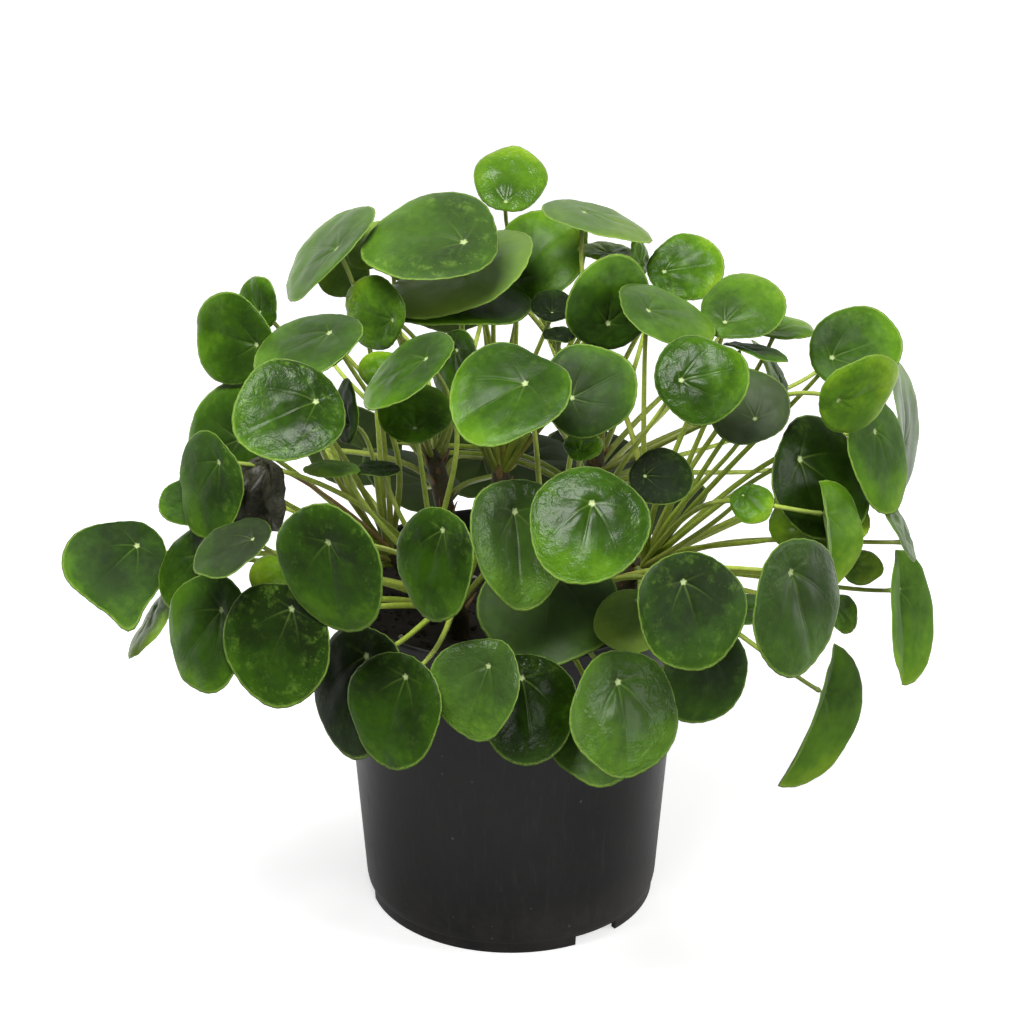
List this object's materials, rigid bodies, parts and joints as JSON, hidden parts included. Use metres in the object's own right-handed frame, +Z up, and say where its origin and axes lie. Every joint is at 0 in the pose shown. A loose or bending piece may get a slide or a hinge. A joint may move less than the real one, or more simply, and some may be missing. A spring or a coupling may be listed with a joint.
{
  "type": "potted pilea plant",
  "caption": "Round-leaved pilea houseplant with a full dome of coin-shaped leaves on long stalks, in a plain black nursery pot.",
  "frame": {"origin": "on the floor under the middle of the pot and of the foliage", "axes": "+Z up, +X to the right and -Y to the front of the plant as the picture shows it"},
  "size_m": [0.5719, 0.5611, 0.5228],
  "materials": {
    "pot": "satin black moulded plastic with faint scuffs",
    "soil": "dark crumbly peat mix",
    "foliage": "waxy mid-green leaf"
  },
  "bodies": {
    "root": {"pot": "pot", "potting_soil": "soil", "leafy_stem_middle": "foliage", "leafy_stem_left": "foliage", "leafy_stem_right": "foliage", "leafy_stem_front": "foliage", "leafy_stem_front_left": "foliage", "leafy_stem_back_left": "foliage", "leafy_stem_back_right": "foliage"}
  },
  "joints": []
}
